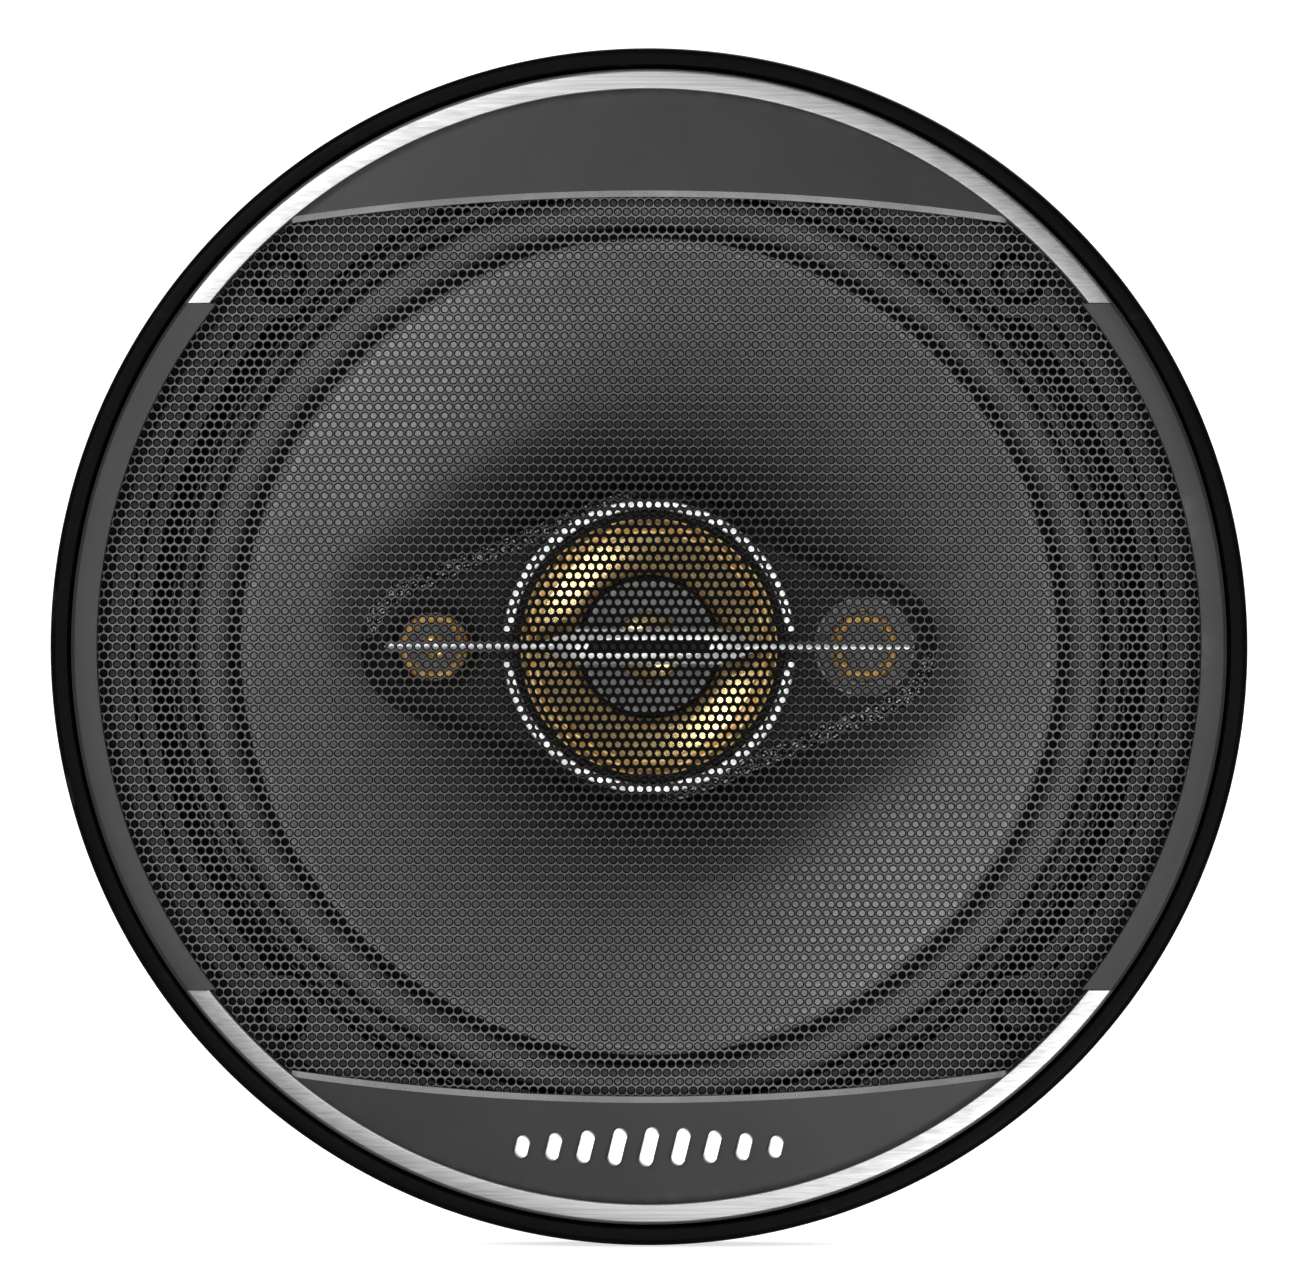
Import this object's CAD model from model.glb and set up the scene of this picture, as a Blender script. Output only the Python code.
"""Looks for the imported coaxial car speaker.

Shapes are drawn in the speaker's own frame, in millimetres: X to the right, Y up, Z along the axis
towards the listener, with Z = 0 on the door panel. at() turns a point into the row frame in metres.
"""

import math

import bmesh
import bpy
import numpy as np
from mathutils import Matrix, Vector


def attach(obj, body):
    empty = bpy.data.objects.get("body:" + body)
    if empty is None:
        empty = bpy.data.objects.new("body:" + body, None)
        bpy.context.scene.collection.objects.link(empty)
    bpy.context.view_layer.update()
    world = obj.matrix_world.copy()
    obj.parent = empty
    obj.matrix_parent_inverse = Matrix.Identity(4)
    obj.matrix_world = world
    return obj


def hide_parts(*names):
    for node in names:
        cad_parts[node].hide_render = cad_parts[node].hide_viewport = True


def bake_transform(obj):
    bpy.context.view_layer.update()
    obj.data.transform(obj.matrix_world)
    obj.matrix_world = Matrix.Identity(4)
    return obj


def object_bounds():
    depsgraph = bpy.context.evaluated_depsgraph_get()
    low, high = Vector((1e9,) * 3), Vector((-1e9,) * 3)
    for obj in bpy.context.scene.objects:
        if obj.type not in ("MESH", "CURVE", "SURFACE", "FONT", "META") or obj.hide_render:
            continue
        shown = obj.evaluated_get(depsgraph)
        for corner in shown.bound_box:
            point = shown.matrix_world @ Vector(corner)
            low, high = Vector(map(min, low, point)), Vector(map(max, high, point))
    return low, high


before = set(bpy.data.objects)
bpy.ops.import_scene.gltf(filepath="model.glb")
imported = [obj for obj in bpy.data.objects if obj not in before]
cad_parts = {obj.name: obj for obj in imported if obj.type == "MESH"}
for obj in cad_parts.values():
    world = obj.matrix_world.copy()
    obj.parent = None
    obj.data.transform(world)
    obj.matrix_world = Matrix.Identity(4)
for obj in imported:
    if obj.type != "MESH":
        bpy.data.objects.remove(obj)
cad_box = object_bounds()

MM = 0.001
RING_STEPS = 320          # sections round a large ring
SMALL_STEPS = 128         # and round a small one


def at(x, y, z):
    return Vector((x * MM, -z * MM, y * MM))


def add_object(name, data):
    made = bpy.data.objects.new(name, data)
    bpy.context.scene.collection.objects.link(made)
    return made


# Camera ---------------------------------------------------------------------------------------
CAMERA_DISTANCE = 1.4
camera_data = bpy.data.cameras.new("camera")
camera_data.lens = 255.4
camera_data.sensor_width = 36
camera_data.clip_end = 20
camera = add_object("camera", camera_data)
camera.location = (0.00015, -CAMERA_DISTANCE, 0.0004)
camera.rotation_euler = (math.radians(90), 0, 0)
bpy.context.scene.camera = camera


# Materials ------------------------------------------------------------------------------------
def linear(*srgb):
    """An sRGB colour, 0 to 255, as the linear colour a shader takes. One number is a grey."""
    channels = srgb if len(srgb) == 3 else srgb * 3
    return tuple(
        c / 12.92 if c <= 0.04045 else ((c + 0.055) / 1.055) ** 2.4
        for c in (v / 255 for v in channels)
    ) + (1.0,)


WAVE_UNIT = 2 * math.pi / 20    # the Wave texture's own period


class Look:
    """A material in the making: its node tree, its shader and short ways to add nodes."""

    def __init__(self, name, roughness, **sockets):
        self.material = bpy.data.materials.new(name)
        self.material.use_nodes = True
        self.tree = self.material.node_tree
        self.shader = self.tree.nodes["Principled BSDF"]
        self.normal = None
        self.shader.inputs["Roughness"].default_value = roughness
        for socket, value in sockets.items():
            self.shader.inputs[socket.replace("_", " ")].default_value = value

    def add(self, kind, inputs=None, **settings):
        made = self.tree.nodes.new(kind)
        for key, value in settings.items():
            setattr(made, key, value)
        for key, value in (inputs or {}).items():
            if isinstance(value, bpy.types.NodeSocket):
                self.tree.links.new(value, made.inputs[key])
            else:
                made.inputs[key].default_value = value
        return made

    def coords(self, scale=(1, 1, 1), shift=(0, 0, 0)):
        source = self.add("ShaderNodeTexCoord").outputs["Object"]
        inputs = {"Vector": source, "Scale": scale, "Location": shift}
        return self.add("ShaderNodeMapping", inputs).outputs["Vector"]

    def noise(self, size_mm, detail=2.0, stretch=(1, 1, 1)):
        """Noise whose features are about size_mm across, stretched along each axis."""
        scale = tuple(1 / (size_mm * MM * s) for s in stretch)
        inputs = {"Vector": self.coords(scale), "Scale": 1.0, "Detail": detail}
        return self.add("ShaderNodeTexNoise", inputs).outputs["Fac"]

    def cells(self, size_mm, output="Distance"):
        scale = 1 / (size_mm * MM)
        inputs = {"Vector": self.coords((scale,) * 3), "Scale": 1.0}
        return self.add("ShaderNodeTexVoronoi", inputs).outputs[output]

    def wave(self, period_mm, direction="Y", kind="BANDS", shift=(0, 0, 0)):
        """Stripes along an axis, or rings round one, period_mm apart."""
        scale = WAVE_UNIT / (period_mm * MM)
        inputs = {"Vector": self.coords((scale,) * 3, shift), "Scale": 1.0}
        settings = {"wave_type": kind}
        settings["bands_direction" if kind == "BANDS" else "rings_direction"] = direction
        return self.add("ShaderNodeTexWave", inputs, **settings).outputs["Fac"]

    def span(self, value, low, high, to_low=0.0, to_high=1.0):
        inputs = {"Value": value, "From Min": low, "From Max": high}
        inputs.update({"To Min": to_low, "To Max": to_high})
        return self.add("ShaderNodeMapRange", inputs).outputs["Result"]

    def times(self, a, b):
        return self.add("ShaderNodeMath", {0: a, 1: b}, operation="MULTIPLY").outputs[0]

    def greater(self, a, b):
        return self.add("ShaderNodeMath", {0: a, 1: b}, operation="MAXIMUM").outputs[0]

    def band(self, value, start, full, fading, end):
        """1 where value lies between full and fading, 0 below start and beyond end, all in mm."""
        rise = self.span(value, start * MM, full * MM)
        return self.times(rise, self.span(value, fading * MM, end * MM, 1, 0))

    def mix(self, factor, a, b):
        mixed = self.add("ShaderNodeMix", {"Factor": factor}, data_type="RGBA")
        for socket, value in (("A_Color", a), ("B_Color", b)):
            target = next(i for i in mixed.inputs if i.identifier == socket)
            if isinstance(value, bpy.types.NodeSocket):
                self.tree.links.new(value, target)
            else:
                target.default_value = value
        return next(o for o in mixed.outputs if o.identifier == "Result_Color")

    def bump(self, height, depth_mm):
        inputs = {"Height": height, "Distance": depth_mm * MM, "Strength": 1.0}
        if self.normal:
            inputs["Normal"] = self.normal
        self.normal = self.add("ShaderNodeBump", inputs).outputs["Normal"]
        self.tree.links.new(self.normal, self.shader.inputs["Normal"])

    def set(self, socket, value):
        self.tree.links.new(value, self.shader.inputs[socket])

    def radius(self):
        """Distance from the speaker's axis, in metres."""
        flat = self.coords((1, 0, 1))
        return self.add("ShaderNodeVectorMath", {0: flat}, operation="LENGTH").outputs["Value"]

    def around(self, low_mm, high_mm):
        """0 within low_mm of the speaker's axis, 1 beyond high_mm."""
        return self.span(self.radius(), low_mm * MM, high_mm * MM)

    def edges(self):
        """Strong where the surface bulges, for wear along edges."""
        pointiness = self.add("ShaderNodeNewGeometry").outputs["Pointiness"]
        return self.span(pointiness, 0.52, 0.60)


def moulded(name, dark, light, roughness, grain_mm=0.35, grain_depth=0.012, spread=0.06, **sockets):
    """Moulded plastic, rubber or paint: cloudy tone, a fine grain, and edges rubbed lighter."""
    look = Look(name, roughness, **sockets)
    cloud = look.span(look.noise(14, 3), 0.35, 0.65)
    tone = look.mix(cloud, dark, light)
    rubbed = look.times(look.edges(), look.span(look.noise(2.5, 3), 0.4, 0.7, 0.0, 0.5))
    paler = tuple(min(1.0, c * 1.9 + 0.01) for c in light[:3]) + (1.0,)
    look.set("Base Color", look.mix(rubbed, tone, paler))
    grain = look.noise(grain_mm, 3)
    look.set("Roughness", look.span(grain, 0.3, 0.7, roughness - spread, roughness + spread))
    look.bump(grain, grain_depth)
    return look.material


def brushed(name, dark, light, roughness):
    """Brushed metal, its lines running level."""
    look = Look(name, roughness, Metallic=1.0)
    lines = look.noise(0.3, 2, (260, 1, 1))
    broad = look.noise(4.0, 2)
    look.set("Base Color", look.mix(look.span(lines, 0.3, 0.7), dark, light))
    look.set("Roughness", look.span(broad, 0.3, 0.7, roughness - 0.02, roughness + 0.03))
    look.bump(lines, 0.002)
    return look.material


def spun_film(name, dark, light, roughness, centre_x=0.0, pitch_mm=0.16, metallic=0.75):
    """Metallised film or spun metal with fine rings round an axis through centre_x."""
    look = Look(name, roughness, Metallic=metallic)
    rings = look.wave(pitch_mm, "Y", "RINGS", (-centre_x / pitch_mm * WAVE_UNIT, 0, 0))
    cloud = look.noise(3.0, 3)
    look.set("Base Color", look.mix(look.span(cloud, 0.35, 0.65), dark, light))
    uneven = look.noise(0.8, 3)
    look.set("Roughness", look.span(uneven, 0.3, 0.7, roughness - 0.05, roughness + 0.06))
    look.bump(rings, 0.0002)
    look.bump(cloud, 0.001)
    return look.material


def paper_cone():
    """Pressed fibre cone with mica flecks and faint pressing rings."""
    look = Look("cone_fibre", 0.42, Specular_IOR_Level=0.5, Metallic=0.6)
    fibres = look.noise(0.9, 5)
    tone = look.mix(look.span(fibres, 0.35, 0.65), linear(146), linear(155))
    flecks = look.span(look.cells(0.42, "Color"), 0.93, 0.97)
    tone = look.mix(look.times(flecks, 0.25), tone, linear(225))
    look.set("Base Color", look.mix(look.around(24, 50), linear(30), tone))
    look.set("Roughness", look.span(fibres, 0.3, 0.7, 0.38, 0.48))
    look.bump(fibres, 0.008)
    look.bump(look.wave(1.9, "Y", "RINGS"), 0.004)
    return look.material


def roll_rubber():
    """Surround rubber: grey bloom on the roll, dark in the creases beside it and on its flange."""
    look = Look("surround_rubber", 0.42, Specular_IOR_Level=0.8)
    grain = look.noise(0.25, 3)
    tone = look.mix(look.span(look.noise(14, 3), 0.35, 0.65), linear(80), linear(92))
    far = look.radius()
    inner = look.band(far, 61.3, 61.6, 63.0, 63.9)
    outer = look.band(far, 67.6, 68.4, 69.2, 69.5)
    flange = look.span(far, 70.2 * MM, 70.6 * MM)
    clean = look.greater(look.greater(inner, outer), flange)
    look.set("Base Color", look.mix(clean, tone, linear(8)))
    look.set("Specular IOR Level", look.span(clean, 0, 1, 0.8, 0.05))
    look.set("Roughness", look.span(grain, 0.3, 0.7, 0.36, 0.48))
    look.bump(grain, 0.008)
    return look.material


def gasket_foam():
    """Foam ring, glued and dark along its outer edge."""
    look = Look("gasket_foam", 0.8, Specular_IOR_Level=0.2)
    grain = look.noise(0.5, 3)
    tone = look.mix(look.span(look.noise(12, 3), 0.35, 0.65), linear(82), linear(98))
    look.set("Base Color", look.mix(look.around(70.5, 70.9), tone, linear(6)))
    look.set("Roughness", look.span(grain, 0.3, 0.7, 0.74, 0.86))
    look.bump(grain, 0.08)
    return look.material


def ridge_paint():
    """Paint on the mesh's ridges: paler towards the rim, where hands rub it, and darkest over the
    midrange."""
    look = Look("mesh_ridge_paint", 0.5)
    look.set("Specular IOR Level", look.span(look.radius(), 18 * MM, 24 * MM, 0.02, 0.2))
    worn = look.times(look.around(22, 62), look.span(look.noise(9, 3), 0.35, 0.65, 0.8, 1.0))
    tone = look.mix(worn, linear(36), linear(80))
    look.set("Base Color", look.mix(look.around(19, 24), linear(9), tone))
    look.set("Roughness", look.span(look.noise(0.2, 3), 0.3, 0.7, 0.42, 0.58))
    return look.material


def woven(name, dark, light, pitch_mm):
    """Plain woven cloth, stiffened with resin."""
    look = Look(name, 0.75, Sheen_Weight=0.2)
    warp = look.wave(pitch_mm, "X")
    weft = look.wave(pitch_mm, "Z")
    weave = look.greater(warp, weft)
    cloud = look.times(look.span(look.noise(6, 3), 0.3, 0.7, 0.6, 1.0), look.span(weave, 0.2, 1.0))
    look.set("Base Color", look.mix(cloud, dark, light))
    look.bump(weave, 0.10)
    return look.material


def striped(name, dark, light, roughness, metallic, period_mm, direction="Y", depth=0.06):
    """Wire laid in turns, or a braid: rounded ridges period_mm apart."""
    look = Look(name, roughness, Metallic=metallic)
    turns = look.wave(period_mm, direction)
    uneven = look.span(look.noise(1.5, 3), 0.3, 0.7, 0.7, 1.0)
    look.set("Base Color", look.mix(look.times(turns, uneven), dark, light))
    look.bump(turns, depth)
    return look.material


def plated(name, dark, light, roughness, blotch_mm=5.0, scratch=0.004):
    """Plated or blackened steel: cloudy plating and fine handling scratches."""
    look = Look(name, roughness, Metallic=1.0)
    cloud = look.noise(blotch_mm, 4)
    look.set("Base Color", look.mix(look.span(cloud, 0.3, 0.7), dark, light))
    marks = look.noise(0.25, 4, (1, 8, 3))
    look.set("Roughness", look.span(marks, 0.3, 0.7, roughness - 0.08, roughness + 0.1))
    look.bump(marks, scratch)
    return look.material


def ferrite():
    """Sintered ferrite: dark, gritty, with tiny chips of glint."""
    look = Look("ferrite", 0.62, Specular_IOR_Level=0.4)
    grit = look.noise(0.5, 5)
    glint = look.times(look.span(look.cells(0.6, "Color"), 0.9, 0.97), 0.35)
    tone = look.mix(look.span(grit, 0.3, 0.7), linear(44), linear(62))
    look.set("Base Color", look.mix(glint, tone, linear(120)))
    look.bump(grit, 0.05)
    return look.material


def dotted_plastic():
    """Bridge plastic: satin, with a fine raised dot pattern pressed into its bevels."""
    look = Look("bridge_dotted_plastic", 0.45, Specular_IOR_Level=0.15)
    grain = look.noise(0.4, 3)
    dots = look.span(look.cells(0.5, "Distance"), 0.28, 0.5, 1.0, 0.0)
    facing = look.add("ShaderNodeNewGeometry").outputs["Normal"]
    split = look.add("ShaderNodeSeparateXYZ", {"Vector": facing})
    sloped = look.span(split.outputs["Y"], -0.9, -0.8)
    diagonal = look.span(look.times(split.outputs["X"], split.outputs["Z"]), -0.14, -0.05, 1.0, 0.0)
    speckle = look.times(dots, look.times(sloped, diagonal))
    tone = look.mix(look.span(look.noise(10, 3), 0.35, 0.65), linear(22), linear(28))
    look.set("Base Color", look.mix(look.times(speckle, 0.95), tone, linear(225)))
    look.bump(grain, 0.006)
    look.bump(speckle, 0.15)
    return look.material


M = {
    "ring": moulded("ring_plastic", linear(3), linear(5), 0.45, Specular_IOR_Level=0.04),
    "shelf": moulded("shelf_plastic", linear(48), linear(58), 0.45, Specular_IOR_Level=0.35),
    "frame": moulded("frame_plastic", linear(30), linear(34), 0.4, 0.22, 0.003,
                     Specular_IOR_Level=0.24),
    "frame_edge": moulded("frame_polished_edge", linear(84), linear(100), 0.3, 0.22, 0.001,
                          Specular_IOR_Level=0.6),
    "trim": brushed("brushed_trim", linear(150), linear(176), 0.47),
    "bright": plated("bright_trim", linear(205), linear(222), 0.38, 3.0, 0.001),
    "mesh_ridge": ridge_paint(),
    "mesh": moulded("mesh_paint", linear(3), linear(5), 0.5, 0.2, 0.004,
                    Specular_IOR_Level=0.02),
    "basket": moulded("basket_paint", linear(34), linear(42), 0.36, 0.9, 0.02,
                      Specular_IOR_Level=0.5),
    "black_screw": plated("black_screw", linear(52), linear(70), 0.38, 2.0),
    "zinc": plated("zinc_steel", linear(165), linear(195), 0.3, 4.0),
    "motor_steel": plated("motor_steel", linear(58), linear(78), 0.36, 6.0),
    "gasket": gasket_foam(),
    "rubber": roll_rubber(),
    "cone": paper_cone(),
    "cloth": woven("spider_cloth", linear(120, 84, 40), linear(205, 165, 98), 0.55),
    "former": plated("former_foil", linear(150), linear(185), 0.28, 2.0),
    "winding": striped("copper_winding", linear(120, 55, 30), linear(214, 130, 80), 0.28, 1.0, 0.3),
    "ferrite": ferrite(),
    "bridge": moulded("bridge_plastic", linear(22), linear(28), 0.45, 0.3, 0.005,
                      Specular_IOR_Level=0.15),
    "bridge_dots": dotted_plastic(),
    "gold": spun_film("gold_film", linear(240, 206, 144), linear(250, 222, 166), 0.26,
                      metallic=0.8),
    "gold_roll": spun_film("gold_roll_film", linear(222, 184, 122), linear(236, 200, 140), 0.38,
                           metallic=0.7),
    "gold_left": spun_film("gold_film_left", linear(192, 146, 80), linear(208, 164, 96), 0.5, -32.4,
                           metallic=0.4),
    "gold_right": spun_film("gold_film_right", linear(192, 146, 80), linear(208, 164, 96), 0.5,
                            32.4, metallic=0.4),
    "bullet": spun_film("gold_bullet", linear(224, 184, 110), linear(244, 206, 130), 0.27, -32.4),
    "grey": moulded("grey_plastic", linear(122), linear(136), 0.45, 0.25, 0.004,
                    Specular_IOR_Level=0.3),
    "cap_grey": moulded("cap_film", linear(104), linear(118), 0.5, 0.2, 0.002,
                        Specular_IOR_Level=0.4),
    "brass": plated("terminal_brass", linear(190, 150, 80), linear(220, 186, 110), 0.26, 3.0),
    "board": moulded("board_plastic", linear(96, 62, 36), linear(128, 86, 50), 0.55, 0.8, 0.02),
    "sleeve": moulded("capacitor_sleeve", linear(20, 34, 74), linear(28, 46, 92), 0.25, 2.0, 0.01),
    "lead": striped("lead_braid", linear(120, 70, 45), linear(215, 150, 110), 0.35, 0.9, 0.5),
}


# Outlines and surfaces ------------------------------------------------------------------------
def arc(start, through, end, steps=12):
    """Points on the circle through three points, start and end included."""
    (ax, ay), (bx, by), (cx, cy) = start, through, end
    d = 2 * (ax * (by - cy) + bx * (cy - ay) + cx * (ay - by))
    a, b, c = ax * ax + ay * ay, bx * bx + by * by, cx * cx + cy * cy
    ux = (a * (by - cy) + b * (cy - ay) + c * (ay - by)) / d
    uy = (a * (cx - bx) + b * (ax - cx) + c * (bx - ax)) / d
    r = math.hypot(ax - ux, ay - uy)
    first, middle, last = (math.atan2(y - uy, x - ux) for x, y in (start, through, end))
    turn = (last - first) % (2 * math.pi)
    if (middle - first) % (2 * math.pi) > turn:
        turn -= 2 * math.pi
    angles = [first + turn * i / steps for i in range(steps + 1)]
    return [(ux + r * math.cos(t), uy + r * math.sin(t)) for t in angles]


def rounded(outline, radius=0.3, steps=3):
    """A closed outline with its corners rounded. Corners on the axis stay."""
    made = []
    for i, here in enumerate(outline):
        before, after = outline[i - 1], outline[(i + 1) % len(outline)]
        into, away = Vector(here) - Vector(before), Vector(after) - Vector(here)
        if here[0] < 1e-6 or into.length < 1e-6 or away.length < 1e-6 or into.angle(away) < 0.3:
            made.append(here)
            continue
        cut = min(radius, 0.45 * into.length, 0.45 * away.length)
        p = Vector(here) - into.normalized() * cut
        q = Vector(here) + away.normalized() * cut
        for s in range(steps + 1):
            t = s / steps
            made.append(tuple(p * (1 - t) ** 2 + Vector(here) * 2 * t * (1 - t) + q * t * t))
    return made


def turned(outline, steps=RING_STEPS, centre=(0.0, 0.0), ends=None):
    """Points and faces of a closed (r, z) outline turned about the axis. ends(r) gives the first
    and last angle at radius r, in degrees, for a part turn with capped ends."""
    points, faces = [], []
    count = len(outline)
    columns = steps if ends is None else steps + 1
    for i in range(columns):
        for r, z in outline:
            first, last = (0.0, 360.0) if ends is None else ends(r)
            angle = math.radians(first + (last - first) * i / steps)
            points.append((centre[0] + r * math.cos(angle), centre[1] + r * math.sin(angle), z))
    for i in range(steps):
        a, b = i * count, (i + 1) % columns * count
        for k in range(count):
            m = (k + 1) % count
            if max(outline[k][0], outline[m][0]) > 1e-6:
                faces.append((a + k, b + k, b + m, a + m))
    if ends:
        faces.append(tuple(range(count)))
        faces.append(tuple(range(columns * count - 1, columns * count - count - 1, -1)))
    return points, faces


def above(half_height, side):
    """Part turn that keeps what is above a level line, or below the mirrored one."""
    def ends(r):
        low = math.degrees(math.asin(min(1.0, half_height / r)))
        return (low, 180 - low) if side > 0 else (180 + low, 360 - low)
    return ends


def beside(half_height, side):
    """Part turn that keeps what lies between the two level lines, right or left."""
    def ends(r):
        low = math.degrees(math.asin(min(1.0, half_height / r)))
        return (-low, low) if side > 0 else (180 - low, 180 + low)
    return ends


def joined(*shapes):
    """Several (points, faces) shapes as one."""
    points, faces = [], []
    for more_points, more_faces in shapes:
        base = len(points)
        points += more_points
        faces += [tuple(base + i for i in face) for face in more_faces]
    return points, faces


def piece(name, shape, material, body, nodes, smooth=40, place=at):
    """Makes the mesh, shades it, and ties it to its CAD body, nodes and material slot."""
    points, faces = shape
    mesh = bpy.data.meshes.new(name)
    mesh.from_pydata([place(*p) for p in points], [], faces)
    work = bmesh.new()
    work.from_mesh(mesh)
    bmesh.ops.remove_doubles(work, verts=work.verts, dist=1e-7)
    bmesh.ops.dissolve_degenerate(work, edges=work.edges, dist=1e-8)
    bmesh.ops.recalc_face_normals(work, faces=work.faces)
    work.to_mesh(mesh)
    work.free()
    mesh.shade_smooth()
    mesh.set_sharp_from_angle(angle=math.radians(smooth))
    made = add_object(name, mesh)
    mesh.materials.append(M[material])
    tie(made, body, nodes)
    return made


def refinish(made, material, chosen):
    """Gives a second material to the faces that chosen(x, y, z, normal) picks, x, y and z being the
    face's centre in the speaker's frame."""
    made.data.materials.append(M[material])
    for face in made.data.polygons:
        x, y, z = face.center / MM
        if chosen(x, z, -y, face.normal):
            face.material_index = 1


def tie(made, body, nodes):
    if body:
        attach(made, body)
    if nodes:
        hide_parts(*nodes)


def carve(made, cutters, operation="DIFFERENCE"):
    """Cuts closed (points, faces) shapes out of a piece, or adds them to it."""
    helper_mesh = bpy.data.meshes.new("cutter")
    points, faces = joined(*cutters)
    helper_mesh.from_pydata([at(*p) for p in points], [], faces)
    work = bmesh.new()
    work.from_mesh(helper_mesh)
    bmesh.ops.remove_doubles(work, verts=work.verts, dist=1e-7)
    bmesh.ops.recalc_face_normals(work, faces=work.faces)
    work.to_mesh(helper_mesh)
    work.free()
    helper = add_object("cutter", helper_mesh)
    modifier = made.modifiers.new("carve", "BOOLEAN")
    modifier.operation = operation
    modifier.solver = "EXACT"
    modifier.object = helper
    bpy.context.view_layer.update()
    depsgraph = bpy.context.evaluated_depsgraph_get()
    result = bpy.data.meshes.new_from_object(made.evaluated_get(depsgraph))
    made.modifiers.clear()
    material = made.data.materials[0]
    made.data = result
    made.data.materials.clear()
    made.data.materials.append(material)
    made.data.shade_smooth()
    made.data.set_sharp_from_angle(angle=math.radians(35))
    bpy.data.objects.remove(helper)


def stacked(layers):
    """Closed shape through outlines of equal length: layers is a list of (outline, z)."""
    points = [(x, y, z) for outline, z in layers for x, y in outline]
    count = len(layers[0][0])
    faces = [tuple(range(count)), tuple(range((len(layers) - 1) * count, len(layers) * count))]
    for j in range(len(layers) - 1):
        for k in range(count):
            m = (k + 1) % count
            faces.append((j * count + k, j * count + m, (j + 1) * count + m, (j + 1) * count + k))
    return points, faces


def drum(r, z_low, z_high, x=0.0, y=0.0, steps=96):
    return turned([(0, z_low), (r, z_low), (r, z_high), (0, z_high)], steps, (x, y))


# Grille ---------------------------------------------------------------------------------------
DOME_R, DOME_TOP_Z = 758.0, 21.0
WINDOW_HALF_HEIGHT, WINDOW_EDGE_R = 67.3, 373.0
PANEL_LIFT = 1.3
TRIM_IN_R, TRIM_OUT_R, TRIM_END_Y = 83.5, 86.3, 51.4
STRIP_IN_R = 82.7
SKIRT_R = 86.6
MESH_EDGE_R = 83.3      # the mesh ends inside the frame's walls
MESH_T = 0.5            # the sheet itself, thinner than its solid
PITCH = 1.33
HOLE_R = 0.46
RIDGE_R = 0.645         # where the flat ridge round a hole gives way to the dark countersink


def dome_z(r, lift=0.0):
    return DOME_TOP_Z + lift - DOME_R + math.sqrt(DOME_R**2 - r**2)


def window_edge(x):
    """Height of the window's curved top edge above the centre line."""
    return WINDOW_HALF_HEIGHT - WINDOW_EDGE_R + math.sqrt(WINDOW_EDGE_R**2 - x * x)


def perforated_cells():
    """Centres of the staggered holes, row by row, a little past the window's outline."""
    reach = int(MESH_EDGE_R / PITCH) + 2
    rows = []
    for j in range(-reach, reach + 1):
        y = j * PITCH
        row = []
        for i in range(-reach, reach + 1):
            x = (i + 0.5 * (j % 2)) * PITCH
            if math.hypot(x, y) < MESH_EDGE_R and abs(y) < window_edge(x) + 1.7:
                row.append((x, y))
        rows.append(row)
    return [row for row in rows if row]


def perforated_tile(name, centres):
    """Part of the sheet: every cell is a hexagon with a flat ridge round a countersunk hole, the
    ridge rubbed paler than the countersink."""
    corners = np.array([(0, 0.625), (0.5, 0.375), (0.5, -0.375), (0, -0.625), (-0.5, -0.375),
                        (-0.5, 0.375)]) * PITCH
    turns = np.radians([90 - 30 * i for i in range(12)])
    ring = np.stack([np.cos(turns), np.sin(turns)], 1)
    layers = [
        (corners, 0.0), (ring * RIDGE_R, -0.01), (ring * (0.45 * HOLE_R + 0.55 * RIDGE_R), -0.12),
        (ring * HOLE_R, -0.32), (corners, -MESH_T),
    ]
    local = np.concatenate([np.c_[xy, np.full(len(xy), z)] for xy, z in layers])
    starts = np.cumsum([0] + [len(xy) for xy, _ in layers])
    hex_top, lip, slope, throat, hex_back = starts[:5]
    faces = []
    for i in range(6):
        j = (i + 1) % 6
        a, b, c = 2 * i, 2 * i + 1, (2 * i + 2) % 12
        faces += [(hex_top + i, lip + b, lip + a), (hex_top + i, hex_top + j, lip + b),
                  (hex_top + j, lip + c, lip + b)]
    ridge_faces = len(faces)
    for i in range(6):
        j = (i + 1) % 6
        a, b, c = 2 * i, 2 * i + 1, (2 * i + 2) % 12
        faces += [(hex_back + i, throat + a, throat + b), (hex_back + i, throat + b, hex_back + j),
                  (hex_back + j, throat + b, throat + c)]
    for upper, lower in ((lip, slope), (slope, throat)):
        for i in range(12):
            j = (i + 1) % 12
            faces += [(upper + i, upper + j, lower + j), (upper + i, lower + j, lower + i)]
    faces = np.array(faces)
    centres = np.array(centres)
    points = np.tile(local, (len(centres), 1))
    points[:, :2] += np.repeat(centres, len(local), axis=0)
    reach = (points[:, :2] ** 2).sum(1)
    points[:, 2] += DOME_TOP_Z - DOME_R + np.sqrt(DOME_R**2 - reach)
    row = np.stack([points[:, 0], -points[:, 2], points[:, 1]], 1) * MM
    triangles = (faces[None] + (np.arange(len(centres)) * len(local))[:, None, None]).reshape(-1, 3)
    mesh = bpy.data.meshes.new(name)
    mesh.vertices.add(len(row))
    mesh.vertices.foreach_set("co", row.astype(np.float32).ravel())
    mesh.loops.add(triangles.size)
    mesh.loops.foreach_set("vertex_index", triangles.astype(np.int32).ravel())
    mesh.polygons.add(len(triangles))
    mesh.polygons.foreach_set("loop_start", (np.arange(len(triangles)) * 3).astype(np.int32))
    on_ridge = np.arange(len(faces)) < ridge_faces
    mesh.polygons.foreach_set("material_index", np.tile(~on_ridge, len(centres)).astype(np.int32))
    mesh.update(calc_edges=True)
    mesh.materials.append(M["mesh_ridge"])
    mesh.materials.append(M["mesh"])
    tie(add_object(name, mesh), "grille", ["grille_mesh"])


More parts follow.
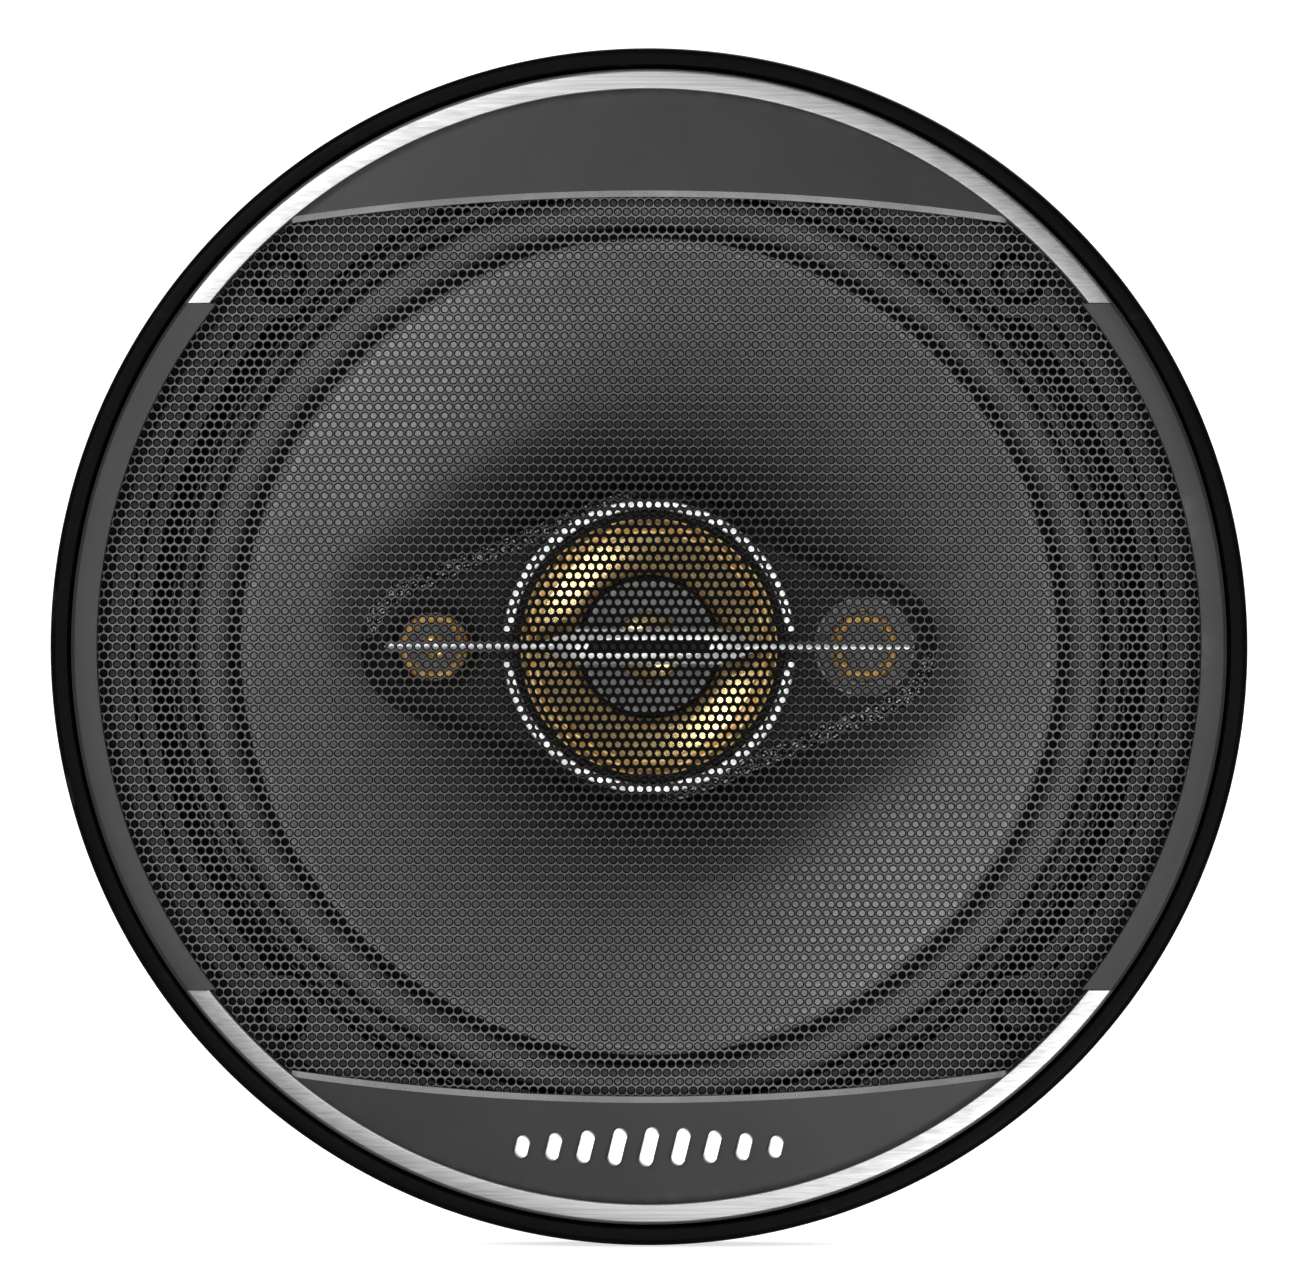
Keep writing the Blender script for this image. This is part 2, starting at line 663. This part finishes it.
def grille_mesh():
    tiles = 6
    rows = perforated_cells()
    total = sum(len(row) for row in rows)
    tile, number = [], 1
    for row in rows:
        tile += row
        if len(tile) >= total / tiles or row is rows[-1]:
            perforated_tile(f"grille_mesh_{number}", tile)
            tile, number = [], number + 1


def crescent_panel(side):
    """Closed panel between the trim and the window's curved edge, chamfered along the window."""
    columns, chamfer, half_width = 160, 1.0, 54.0
    points, faces = [], []
    for i in range(columns + 1):
        x = half_width * math.sin(math.pi * (i / columns - 0.5))
        low, high = window_edge(x), math.sqrt((TRIM_IN_R + 0.1) ** 2 - x * x)
        width = max(high - low, 0.02)
        cut = min(chamfer, 0.8 * width)
        heights = [(low, 0.05), (low, PANEL_LIFT - 0.5), (low + 0.08, PANEL_LIFT - 0.4),
                   (low + cut, PANEL_LIFT)]
        heights += [(low + cut + (width - cut) * k / 6, PANEL_LIFT) for k in range(1, 7)]
        heights += [(high, 0.05)]
        for y, lift in heights:
            points.append((x, side * y, dome_z(math.hypot(x, y), lift)))
    count = len(heights)
    for i in range(columns):
        for k in range(count):
            m = (k + 1) % count
            faces.append((i * count + k, (i + 1) * count + k, (i + 1) * count + m, i * count + m))
    faces.append(tuple(range(count)))
    faces.append(tuple(range((columns + 1) * count - 1, columns * count - 1, -1)))
    return points, faces


def grille_frame():
    skirt = [(84.9, 4.4), (84.9, 12.4)]
    strip = rounded(skirt + [(STRIP_IN_R, 13.5), (STRIP_IN_R, 18.6), (86.1, 18.6), (SKIRT_R, 18.1),
                             (SKIRT_R, 4.4)], 0.15)
    seat = rounded(skirt + [(TRIM_IN_R - 0.05, 13.5), (TRIM_IN_R - 0.05, 18.3),
                            (TRIM_IN_R + 0.3, 18.3), (TRIM_IN_R + 0.3, 17.8), (SKIRT_R, 17.8),
                            (SKIRT_R, 4.4)], 0.1)
    shapes = [turned(strip, 120, ends=beside(TRIM_END_Y, side)) for side in (1, -1)]
    shapes += [turned(seat, 160, ends=above(TRIM_END_Y, side)) for side in (1, -1)]
    shapes += [crescent_panel(side) for side in (1, -1)]
    for quarter in range(4):
        angle = 90 * quarter
        lug = rounded([(84.0, 4.9), (85.2, 4.9), (85.2, 9.6), (84.6, 9.6), (84.0, 8.6)], 0.2)
        shapes.append(turned(lug, 6, ends=lambda r, a=angle: (a - 1.35, a + 1.35)))
    made = piece("grille_frame", joined(*shapes), "frame", "grille", ["grille_frame"],
                 15)

    def on_chamfer(x, y, z, normal):
        on_panel = math.hypot(x, y) < TRIM_IN_R - 0.1 and abs(y) > 60
        return on_panel and normal.y < -0.85 and abs(normal.z) > 0.2

    refinish(made, "frame_edge", on_chamfer)


def trim_arcs():
    section = rounded([(TRIM_IN_R, 17.8), (TRIM_OUT_R, 17.8), (TRIM_OUT_R, 18.6),
                       (TRIM_OUT_R - 0.2, 18.78), (TRIM_IN_R + 0.2, 19.2), (TRIM_IN_R, 19.05)], 0.1)
    for name, side in (("trim_arc_top", 1), ("trim_arc_bottom", -1)):
        shape = turned(section, 220, ends=above(TRIM_END_Y + 0.1, side))
        piece(name, shape, "trim", "grille", [name])


def slanted_bar(x, y, height, thick, slant_deg):
    """A round-ended raised bar that leans right, domed a little on top."""
    slant = math.radians(slant_deg)
    up = Vector((math.sin(slant), math.cos(slant)))
    across = Vector((up.y, -up.x))
    half, r = height / 2, thick / 2
    rim = []
    for end in (1, -1):
        for k in range(17):
            t = math.pi * k / 16
            offset = across * (r * math.cos(t) * end) + up * (r * math.sin(t) * end)
            rim.append(up * half * end + offset)
    middle = Vector((x, y))
    layers = []
    for share, lift in [(1.0, 0.0), (1.0, 0.4), (0.96, 0.56), (0.86, 0.66), (0.6, 0.7)]:
        outline = [tuple(middle + p - p.normalized() * (r * (1 - share))) for p in rim]
        layers.append((outline, dome_z(math.hypot(x, y), PANEL_LIFT + lift)))
    return stacked(layers)


def badge():
    heights = [1.4, 2.2, 3.0, 3.7, 4.0, 3.7, 3.0, 2.2, 1.4]
    pitch, thick, slant, middle_y = 4.75, 2.2, 14, -74.9
    bars = []
    for i, height in enumerate(heights):
        bars.append(slanted_bar((i - 4) * pitch, middle_y, height, thick, slant))
    piece("badge_bars", joined(*bars), "bright", "grille", ["badge_bars"])


# Mount ring -----------------------------------------------------------------------------------
SCREW_CIRCLE_R = 79.0
SCREWS = [(SCREW_CIRCLE_R * math.cos(a), SCREW_CIRCLE_R * math.sin(a))
          for a in (math.radians(45 + 90 * i) for i in range(4))]
RECESS_HALF_HEIGHT = 49.6


def shelf_faces(made):
    """Gives the top of the ring's inner shelf, which shows through the mesh, a paler finish."""
    refinish(made, "shelf", lambda x, y, z, normal: math.hypot(x, y) < 84.3 and 8.8 < z < 9.1)


def mount_ring():
    outer = [(84.2, 4.0), (87.0, 4.0), (87.0, 14.0), (87.4, 14.5), (89.2, 14.4), (89.8, 13.9),
             (90.0, 13.2), (90.0, 0.0), (88.0, 0.0), (88.0, 2.2), (82.4, 2.2), (82.4, 7.2),
             (76.5, 7.2), (76.5, 2.0), (72.7, 2.0)]
    recess = rounded(outer + [(72.7, 4.0), (75.2, 4.0), (75.2, 9.0), (77.5, 9.0), (77.5, 7.7),
                              (78.2, 7.7), (78.2, 9.0), (84.2, 9.0)], 0.15)
    shelf = rounded(outer + [(72.7, 8.5), (73.2, 9.0), (84.2, 9.0)], 0.25)
    sides = [turned(recess, 140, ends=beside(RECESS_HALF_HEIGHT, side)) for side in (1, -1)]
    shelf_faces(piece("mount_ring_sides", joined(*sides), "ring", "chassis", ["mount_ring"]))
    for name, side in (("top", 1), ("bottom", -1)):
        made = piece(f"mount_ring_{name}", turned(shelf, 200, ends=above(RECESS_HALF_HEIGHT, side)),
                     "ring", "chassis", ["mount_ring"])
        near = [(x, y) for x, y in SCREWS if y * side > 0]
        carve(made, [drum(6.1, 2.0, 8.7, x, y) for x, y in near], "UNION")
        carve(made, [drum(4.5, 4.2, 12.0, x, y) for x, y in near])
        carve(made, [drum(2.4, -1.0, 6.0, x, y) for x, y in near])
        shelf_faces(made)


# Cone and suspension --------------------------------------------------------------------------
def surround():
    """Rubber half roll. Its inner edge moves with the cone and its outer edge stays."""
    outline = [(60.6, 9.5), (63.5, 9.5)]
    outline += arc((63.5, 9.5), (66.0, 12.0), (68.5, 9.5), 16)[1:]
    outline += [(72.0, 9.5), (72.0, 10.1), (69.4, 10.1)]
    outline += arc((69.1, 10.2), (66.0, 13.2), (62.9, 10.2), 20)
    outline += [(62.6, 10.1), (60.6, 10.1)]
    made = piece("surround", turned(outline), "rubber", None, ["surround"], 50)
    spread(made, "woofer_cone", "chassis", 62.4, 69.6)


def spread(made, inner, outer, inner_r, outer_r):
    """Blends a ring between two bodies by radius: inside inner_r it follows one, outside outer_r
    the other."""
    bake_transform(made)
    co = np.empty(len(made.data.vertices) * 3, np.float32)
    made.data.vertices.foreach_get("co", co)
    co = co.reshape(-1, 3)


def cone():
    outline = [(62.6, 8.9), (62.6, 9.5), (60.5, 9.5)]
    outline += arc((60.2, 9.4), (38.0, -1.6), (13.6, -14.9), 40)
    outline += [(12.75, -15.0), (12.75, -16.2), (13.35, -16.2)]
    outline += arc((13.6, -15.9), (38.4, -2.2), (60.4, 8.7), 40)
    piece("cone", turned(outline), "cone", "woofer_cone", ["cone"], 50)


def spider():
    """Corrugated cloth disc between the coil former and the basket's shelf."""
    waves, wave_in, wave_out, swing, t, z = 7, 16.0, 43.8, 0.85, 0.4, -17.5
    steps = 12
    radii = [12.76, 14.0, 15.0]
    radii += [wave_in + (wave_out - wave_in) * i / (waves * steps)
              for i in range(waves * steps + 1)]
    radii += [45.0, 46.2, 47.5]

    def height(r):
        if not wave_in <= r <= wave_out:
            return z
        return z + swing * math.sin(2 * math.pi * waves * (r - wave_in) / (wave_out - wave_in))

    outline = [(r, height(r)) for r in radii] + [(r, height(r) + t) for r in reversed(radii)]
    made = piece("spider", turned(outline, 200), "cloth", None, ["spider"], 60)
    spread(made, "woofer_cone", "chassis", 15.0, 44.5)


def winding():
    """Two layers of round copper wire on the former."""
    r_in, r_out, z_low, z_high, wire = 12.76, 13.5, -35.2, -24.2, 0.36
    turns = int((z_high - z_low) / wire)
    outline = [(r_in, z_high), (r_in, z_low)]
    for i in range(turns):
        z = z_low + (z_high - z_low) * (i + 0.5) / turns
        for k in range(5):
            t = math.pi * (k / 4 - 0.5)
            outline.append((r_out - wire / 2 + wire / 2 * math.cos(t),
                            z + wire * 0.48 * math.sin(t)))
    piece("voice_coil_winding", turned(outline, 160), "winding", "woofer_cone",
          ["voice_coil_winding"], 60)


def gasket():
    outline = rounded([(69.7, 10.15), (71.5, 10.15), (71.5, 11.0), (71.2, 11.4), (70.1, 11.4),
                       (69.7, 11.0)], 0.3)
    piece("front_gasket", turned(outline), "gasket", "chassis", ["front_gasket"])


# Bridge ---------------------------------------------------------------------------------------
POD_X, POD_R, HUB_R = 32.4, 11.0, 23.4
BRIDGE_TOP_Z = 15.0


def bridge_outline(inset, steps=24):
    """The hub and both pods under one tight outline, moved in by inset."""
    tangent = math.degrees(math.acos((HUB_R - POD_R) / POD_X))
    runs = [(POD_X, POD_R, -tangent, tangent), (0, HUB_R, tangent, 180 - tangent),
            (-POD_X, POD_R, 180 - tangent, 180 + tangent), (0, HUB_R, 180 + tangent, 360 - tangent)]
    points = []
    for x, r, first, last in runs:
        for i in range(steps + 1):
            angle = math.radians(first + (last - first) * i / steps)
            points.append((x + (r - inset) * math.cos(angle), (r - inset) * math.sin(angle)))
    return points


def bridge_cover():
    levels = [(0.15, 10.5), (0.0, 10.65), (0.0, 12.3), (0.12, 12.6), (2.45, 14.87),
              (2.75, BRIDGE_TOP_Z)]
    made = piece("bridge_cover", stacked([(bridge_outline(inset), z) for inset, z in levels]),
                 "bridge_dots", "chassis", ["bridge_cover"])
    carve(made, [drum(20.5, 8, 20, steps=160)] + [drum(7.62, 8, 20, x) for x in (POD_X, -POD_X)])


def mid_bezel():
    section = rounded([(20.5, BRIDGE_TOP_Z), (22.1, BRIDGE_TOP_Z), (22.1, 16.05), (21.95, 16.2),
                       (20.65, 16.2), (20.5, 16.05)], 0.08)
    arcs = [turned(section, 120, ends=above(2.3, side)) for side in (1, -1)]
    piece("mid_bezel", joined(*arcs), "bright", "chassis", ["mid_bezel"])


def accent_bar():
    """Bar from pod to pod, with a wide plate in the middle and a plain dark inset in the plate."""
    tip, shoulder, half, thin, reach = 16.6, 10.8, 2.7, 0.62, 39.8

    def outline(inset):
        right = [(reach - inset, 0), (reach - 0.3 - inset, thin - inset), (tip, thin - inset),
                 (shoulder - inset * 0.4, half - inset)]
        upper = right + [(-x, y) for x, y in reversed(right)]
        return upper + [(x, -y) for x, y in reversed(upper[1:-1])]

    levels = [(0.0, 15.02), (0.0, 15.75), (0.06, 15.92), (0.2, 16.0)]
    made = piece("accent_bar", stacked([(outline(inset), z) for inset, z in levels]), "bright",
                 "chassis", ["accent_bar"], 20)
    inset = [(-9.6, -1.0), (8.8, -1.0), (9.6, 1.0), (-8.8, 1.0)]
    carve(made, [stacked([(inset, 15.6), (inset, 16.5)])])
    refinish(made, "bridge", lambda x, y, z, normal: abs(x) < 10.5 and abs(y) < 1.3 and z < 15.95)


# Drivers on the bridge ------------------------------------------------------------------------
def ring_piece(name, outline, material, body, centre_x=0.0, steps=SMALL_STEPS, smooth=50):
    shape = turned(outline, steps, (centre_x, 0.0))
    return piece(name, shape, material, body, [name], smooth)


def midrange():
    frame_ring = rounded([(18.3, 7.6), (20.45, 7.6), (20.45, 14.9), (19.7, 14.9), (19.35, 14.2),
                          (19.35, 12.4), (18.3, 12.4)], 0.25)
    ring_piece("mid_frame", frame_ring, "bridge", "chassis", steps=200)
    t, z = 0.25, 12.65
    rolls = [(19.3, z), (18.8, z)]
    rolls += arc((18.8, z), (18.25, z + 0.32), (17.75, z), 10)[1:]
    rolls += arc((17.75, z), (17.25, z + 0.28), (16.7, z), 10)[1:]
    outline = rolls + [(r, h - t) for r, h in reversed(rolls)]
    made = ring_piece("mid_surround", outline, "gold_roll", None, steps=200, smooth=60)
    spread(made, "midrange_cone", "chassis", 17.0, 18.9)
    bowl = arc((16.68, z), (14.2, z - 0.8), (11.7, z - 1.9), 16)
    bowl += arc((11.7, z - 1.9), (10.8, z - 2.8), (10.6, z - 4.0), 8)[1:]
    under = [(r + 0.1, h - t) for r, h in reversed(bowl)]
    under[-1] = (16.68, z - t)
    outline = bowl + [(9.9, z - 4.0), (9.9, z - 4.25)] + under
    made = ring_piece("mid_diaphragm", outline, "gold", "midrange_cone", steps=200)
    refinish(made, "bridge", lambda x, y, z, normal: math.hypot(x, y) < 10.75)
    plug = [(0, 7.42), (9.0, 7.42), (9.0, 9.4), (10.15, 10.0), (10.15, 13.5), (9.95, 13.75),
            (9.5, 13.75)]
    plug += arc((9.3, 13.6), (7.4, 12.45), (5.5, 11.95), 10)
    plug += [(5.45, 11.9), (5.45, 10.9), (0, 10.9)]
    ring_piece("center_horn", plug, "grey", "chassis")
    ring_piece("center_dome", dome(5.2, 11.2, 1.5, 0.3), "gold", "center_tweeter")


def dome(r, base_z, height, t, hole=0.0):
    """Outline of a thin dome with a small rolled rim, or of a ring cut from one."""
    ball = (r * r + height * height) / (2 * height)
    radii = [hole + (r - hole) * i / 20 for i in range(21)]
    top = [(x, base_z + height - ball + math.sqrt(ball * ball - x * x)) for x in radii]
    under = [(x, z - t) for x, z in reversed(top[:-1])]
    return top + [(r - 0.25, base_z)] + under


def side_driver(side, x, cap_r, hole, gold):
    wall_r = 7.55
    cup = [(0, 9.62), (6.5, 9.62), (6.5, 10.5), (wall_r, 10.5), (wall_r, 14.7),
           (wall_r - 0.3, 14.8)]
    cup += arc((7.1, 14.6), (6.35, 12.95), (5.5, 12.05), 12)
    cup += [(5.45, 12.0), (5.45, 10.4), (0, 10.4)]
    ring_piece(f"{side}_horn", cup, "bridge" if side == "left" else "grey", "chassis",
               x)
    z, t, middle = 11.4, 0.25, (cap_r + 5.2) / 2
    roll = arc((cap_r + 0.02, z), (middle, z + 0.4), (5.2, z), 14)
    under = [(r, h - t) for r, h in reversed(roll)]
    ring_piece(f"{side}_tweeter_ring", roll + under, gold, f"{side}_tweeter", x)
    ring_piece(f"{side}_tweeter_cap", dome(cap_r, z, cap_r * 0.42, 0.3, hole), "cap_grey",
               f"{side}_tweeter", x)


def bullet():
    outline = [(0, 10.42), (1.2, 10.42), (1.2, 12.9), (1.5, 13.15), (1.9, 13.3)]
    outline += arc((1.97, 13.45), (1.15, 13.9), (0, 14.05), 12)
    ring_piece("left_tweeter_bullet", outline, "bullet", "chassis", -POD_X, 64)


# Leads and capacitors -------------------------------------------------------------------------
TERMINAL_ANGLE = 225.0


def swung(x, y, z, degrees):
    """A point drawn beside the X axis, turned about the speaker's axis."""
    a = math.radians(degrees)
    return x * math.cos(a) - y * math.sin(a), x * math.sin(a) + y * math.cos(a), z


def on_leg(x, y, z):
    """A point drawn beside the X axis, turned to the basket leg that carries the terminals."""
    return at(*swung(x, y, z, TERMINAL_ANGLE))


def lead(name, side):
    """Braided lead on a smooth curve from the leg to the eyelet behind the cone."""
    y = 5.0 * side
    route = [(50.6, y, -15.9), (47.4, y, -14.4), (43.4, y, -9.6), (38.9, y, -8.2),
             (34.2, y, -10.0), (30.6, y, -13.6), (28.2, y, -13.0), (28.2, y, -10.4)]
    curve = bpy.data.curves.new(name, "CURVE")
    curve.dimensions = "3D"
    curve.bevel_depth = 0.6 * MM
    curve.bevel_resolution = 4
    curve.resolution_u = 10
    curve.use_fill_caps = True
    spline = curve.splines.new("NURBS")
    spline.points.add(len(route) - 1)
    for point, place in zip(spline.points, route):
        point.co = (*on_leg(*place), 1.0)
    spline.order_u = 3
    spline.use_endpoint_u = True
    helper = add_object("lead_path", curve)
    depsgraph = bpy.context.evaluated_depsgraph_get()
    mesh = bpy.data.meshes.new_from_object(helper.evaluated_get(depsgraph))
    bpy.data.objects.remove(helper)
    mesh.materials.clear()
    mesh.materials.append(M["lead"])
    mesh.shade_smooth()
    made = add_object(name, mesh)
    tie(made, None, [name])
    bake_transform(made)


def capacitors():
    """Two sleeved cans on the basket's shelf, crimped round their seals and scored on top."""
    half, r = 7.0, 3.6
    outline = [(0, -half), (r * 0.55, -half), (r * 0.6, -half + 0.25), (r * 0.8, -half + 0.25),
               (r * 0.86, -half), (r - 0.3, -half), (r, -half + 0.4), (r, -half + 1.3),
               (r - 0.35, -half + 1.7), (r - 0.35, -half + 2.1), (r, -half + 2.5), (r, half - 0.4),
               (r - 0.3, half), (r * 0.8, half), (r * 0.75, half - 0.15), (0, half - 0.15)]
    shapes = []
    for angle in (TERMINAL_ANGLE - 26, TERMINAL_ANGLE + 26):
        points, faces = turned(outline, 64)
        shapes.append(([swung(50.9 + u, w, -23.6 + v, angle) for u, v, w in points], faces))
    piece("crossover_capacitors", joined(*shapes), "sleeve", "chassis", ["crossover_capacitors"])


# Pieces kept from the CAD model ---------------------------------------------------------------
KEPT = {
    "mesh_retainer": "ring", "door_screws": "black_screw", "basket": "basket",
    "motor_rivets": "zinc", "voice_coil_former": "former", "top_plate": "motor_steel",
    "magnet": "ferrite", "pole_yoke": "motor_steel", "bridge_post": "bridge", "post_screw": "zinc",
    "bridge_base": "bridge", "mid_coil": "winding", "mid_yoke": "motor_steel",
    "mid_magnet": "ferrite", "mid_top_plate": "motor_steel", "left_tweeter_magnet": "ferrite",
    "right_tweeter_magnet": "ferrite", "terminal_plate": "board", "terminal_positive": "brass",
    "terminal_negative": "brass", "terminal_rivets": "zinc", "lead_eyelets": "brass",
}


def smoothing():
    """Geometry nodes that weld a CAD mesh's faces and shade it smooth but for its sharp edges."""
    group = bpy.data.node_groups.new("smooth_by_angle", "GeometryNodeTree")
    group.interface.new_socket("Geometry", in_out="INPUT", socket_type="NodeSocketGeometry")
    group.interface.new_socket("Geometry", in_out="OUTPUT", socket_type="NodeSocketGeometry")
    nodes, link = group.nodes, group.links.new
    start, end = nodes.new("NodeGroupInput"), nodes.new("NodeGroupOutput")
    weld = nodes.new("GeometryNodeMergeByDistance")
    weld.inputs["Distance"].default_value = 2e-6
    forget = nodes.new("GeometryNodeRemoveAttribute")
    forget.inputs["Name"].default_value = "custom_normal"
    faces = nodes.new("GeometryNodeSetShadeSmooth")
    edges = nodes.new("GeometryNodeSetShadeSmooth")
    edges.domain = "EDGE"
    angle = nodes.new("GeometryNodeInputMeshEdgeAngle")
    flat = nodes.new("FunctionNodeCompare")
    flat.operation = "LESS_THAN"
    flat.inputs["B"].default_value = math.radians(32)
    link(start.outputs[0], forget.inputs[0])
    link(forget.outputs[0], weld.inputs[0])
    link(weld.outputs[0], faces.inputs[0])
    link(faces.outputs[0], edges.inputs[0])
    link(angle.outputs["Unsigned Angle"], flat.inputs["A"])
    link(flat.outputs[0], edges.inputs["Shade Smooth"])
    link(edges.outputs[0], end.inputs[0])
    return group


def finish_kept():
    group = smoothing()
    for name, material in KEPT.items():
        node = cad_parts[name]
        node.data.materials.clear()
        node.data.materials.append(M[material])
        node.modifiers.new("smooth", "NODES").node_group = group


# Studio ---------------------------------------------------------------------------------------
def studio():
    floor_z = cad_box[0][2] - 0.0002
    backdrop = Look("backdrop", 0.9)
    tone = backdrop.mix(backdrop.noise(400, 2), linear(226), linear(232))
    backdrop.set("Base Color", tone)
    backdrop.shader.inputs["Emission Color"].default_value = (1, 1, 1, 1)
    backdrop.shader.inputs["Emission Strength"].default_value = 0.7
    radius, back_y, top_z, half = 0.6, 2.2, 4.0, 5.0
    profile = [(-4.0, floor_z), (back_y - radius, floor_z)]
    for i in range(1, 17):
        t = math.radians(90 * i / 16)
        profile.append((back_y - radius * (1 - math.sin(t)), floor_z + radius * (1 - math.cos(t))))
    profile.append((back_y, top_z))
    points = [(x, y, z) for y, z in profile for x in (-half, half)]
    faces = [(2 * i, 2 * i + 1, 2 * i + 3, 2 * i + 2) for i in range(len(profile) - 1)]
    mesh = bpy.data.meshes.new("floor")
    mesh.from_pydata(points, [], faces)
    mesh.shade_smooth()
    mesh.materials.append(backdrop.material)
    floor = add_object("floor", mesh)
    floor.visible_shadow = False    # so the lower lamp, under floor level, lights the piece
    floor.visible_glossy = False    # and shows in its metal

    world = bpy.data.worlds.new("world")
    world.use_nodes = True
    world.node_tree.nodes["Background"].inputs[0].default_value = (1.0, 1.0, 1.0, 1)
    world.node_tree.nodes["Background"].inputs[1].default_value = 0.18
    bpy.context.scene.world = world
    bpy.context.scene.view_settings.view_transform = "Standard"

    lights = [
        ("front", (0.0, -1.5, 0.02), 0.12, 2.25),
        ("near_left", (-0.2, -1.55, 0.2), 0.25, 1.8),
        ("near_right", (0.2, -1.55, -0.2), 0.25, 1.8),
        ("upper_left", (-0.7, -1.3, 0.7), 0.7, 17.0),
        ("lower_right", (0.7, -1.3, -0.7), 0.7, 17.0),
        ("top", (0.1, -0.9, 1.5), 0.9, 2.0),
        ("back", (0.5, 1.3, 1.1), 0.9, 11.0),
    ]
    for name, place, size, power in lights:
        data = bpy.data.lights.new(name, "AREA")
        data.shape = "SQUARE"
        data.size = size
        data.energy = power
        lamp = add_object(name, data)
        lamp.location = place
        lamp.rotation_euler = (-Vector(place)).to_track_quat("-Z", "Y").to_euler()


# Build everything -----------------------------------------------------------------------------
grille_mesh()
grille_frame()
trim_arcs()
badge()
mount_ring()
surround()
cone()
spider()
winding()
gasket()
bridge_cover()
mid_bezel()
accent_bar()
midrange()
side_driver("left", -POD_X, 3.6, 1.5, "gold_left")
side_driver("right", POD_X, 3.5, 0.0, "gold_right")
bullet()
lead("tinsel_lead_positive", 1)
lead("tinsel_lead_negative", -1)
capacitors()
finish_kept()
studio()
